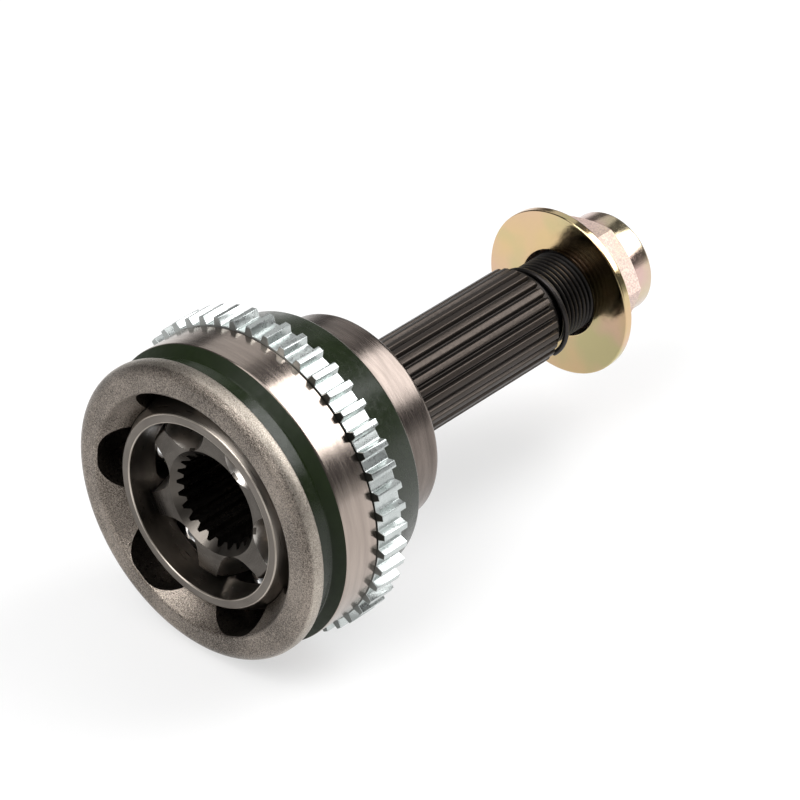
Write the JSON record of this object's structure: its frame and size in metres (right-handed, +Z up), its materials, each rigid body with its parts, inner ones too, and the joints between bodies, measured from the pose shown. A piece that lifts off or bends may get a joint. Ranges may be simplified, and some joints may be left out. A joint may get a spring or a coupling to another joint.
{
  "type": "constant velocity joint",
  "caption": "Fixed-ball constant velocity driveshaft joint: grooved bell with toothed sensor ring, caged balls, splined inner race, splined stub shaft and hub nut with a captive disc.",
  "frame": {"origin": "joint centre, where the ball ring, the cage and both races share one centre, on the stub shaft's axis", "axes": "+X along the stub shaft from the open mouth to the hub nut, +Z up, +Y completes a right-handed set"},
  "size_m": [0.1578, 0.0848, 0.0848],
  "materials": {
    "bell_steel": "forged steel: blasted lip, dark green paint in the groove and on the rear cone, ground band and shoulder, black oxide on the stub",
    "zinc_ring": "bright bluish zinc",
    "cage_steel": "satin hardened steel",
    "race_steel": "satin hardened steel",
    "ball_steel": "polished bearing steel",
    "disc_zinc": "pale yellow zinc",
    "nut_zinc": "pale zinc over a blasted surface",
    "black_wire": "black phosphated spring wire"
  },
  "bodies": {
    "housing": {"bell_housing": "bell_steel", "tone_ring": "zinc_ring"},
    "first_ball": {"ball_1": "ball_steel"},
    "cage_set": {"cage": "cage_steel", "ball_2": "ball_steel", "ball_3": "ball_steel", "ball_5": "ball_steel", "ball_6": "ball_steel"},
    "opposite_ball": {"ball_4": "ball_steel"},
    "race": {"inner_race": "race_steel"},
    "disc": {"nut_disc": "disc_zinc"},
    "nut": {"hub_nut": "nut_zinc"},
    "circlip": {"shaft_circlip": "black_wire"}
  },
  "joints": [
    {"name": "cage_side_swing", "type": "hinge", "parent": "housing", "child": "first_ball", "pos_m": [0, 0, 0], "axis": [0, -0.0872, 0.9962], "range_deg": [-8.5, 8.5]},
    {"name": "cage_swing", "type": "hinge", "parent": "first_ball", "child": "cage_set", "pos_m": [0, 0, 0], "axis": [0, 0.9962, 0.0872], "range_deg": [-22, 22]},
    {"name": "race_swing", "type": "hinge", "parent": "cage_set", "child": "opposite_ball", "pos_m": [0, 0, 0], "axis": [0, 0.9962, 0.0872], "range_deg": [-22, 22]},
    {"name": "race_side_swing", "type": "hinge", "parent": "opposite_ball", "child": "race", "pos_m": [0, 0, 0], "axis": [0, -0.0872, 0.9962], "range_deg": [-8.5, 8.5]},
    {"name": "nut_travel", "type": "slide", "parent": "housing", "child": "disc", "axis": [1, 0, 0], "range_m": [-0.009, 0.009]},
    {"name": "nut_turn", "type": "hinge", "parent": "disc", "child": "nut", "pos_m": [0.1186, 0, 0], "axis": [1, 0, 0], "range_deg": [-2160, 2160]},
    {"name": "circlip_turn", "type": "hinge", "parent": "housing", "child": "circlip", "pos_m": [0.1041, 0, 0], "axis": [1, 0, 0], "continuous": true}
  ],
  "couplings": [
    {"joint": "race_swing", "follows": "cage_swing", "ratio": 1},
    {"joint": "race_side_swing", "follows": "cage_side_swing", "ratio": 1},
    {"joint": "nut_turn", "follows": "nut_travel", "rad_per_m": 4188.8}
  ]
}
